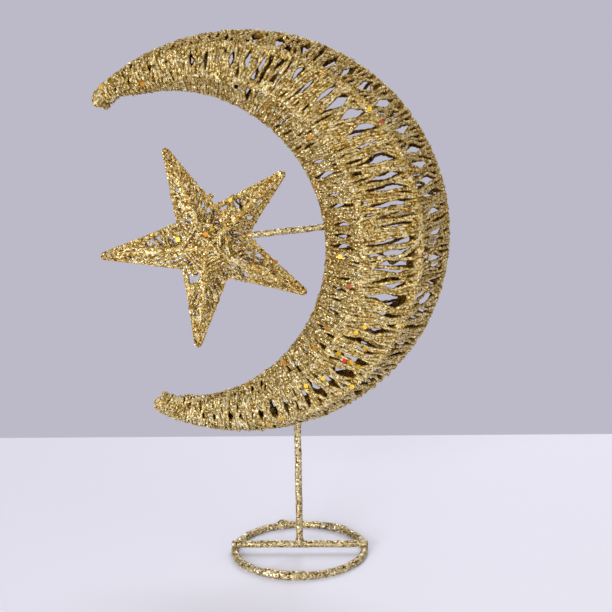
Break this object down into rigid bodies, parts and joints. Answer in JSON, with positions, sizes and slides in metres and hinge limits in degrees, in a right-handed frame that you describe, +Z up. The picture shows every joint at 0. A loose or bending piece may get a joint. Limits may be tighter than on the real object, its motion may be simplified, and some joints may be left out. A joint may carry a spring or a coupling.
{
  "type": "crescent moon and star table ornament",
  "caption": "Standing wire crescent with a ridged star on an arm, wound with glitter thread, on a stem with a round wire base.",
  "frame": {"origin": "middle of the base ring, on the surface that the ring stands on", "axes": "+Z up along the stem; +X along the crossbar, towards the crescent's closed side; +Y from the front of the ornament to its back, square to the crescent"},
  "size_m": [0.2065, 0.0845, 0.315],
  "materials": {
    "glitter_wire": "iron wire coated in gold glitter",
    "wrapped_rod": "iron rod wrapped in gold glitter film",
    "glitter_thread": "thread stiff with gold glitter"
  },
  "bodies": {
    "root": {"base_ring": "wrapped_rod", "base_crossbar": "wrapped_rod", "stem": "wrapped_rod", "outer_rim": "glitter_wire", "inner_rim": "glitter_wire", "front_outer_rail": "glitter_wire", "front_inner_rail": "glitter_wire", "back_outer_rail": "glitter_wire", "back_inner_rail": "glitter_wire", "rib_lower_horn": "glitter_wire", "rib_lower": "glitter_wire", "rib_middle": "glitter_wire", "rib_upper": "glitter_wire", "rib_upper_horn": "glitter_wire", "upper_horn_cap": "glitter_wire", "lower_horn_cap": "glitter_wire", "crescent_winding": "glitter_thread", "star_outline": "glitter_wire", "star_front_ridges": "glitter_wire", "star_back_ridges": "glitter_wire", "star_winding": "glitter_thread", "star_arm": "wrapped_rod"}
  },
  "joints": []
}
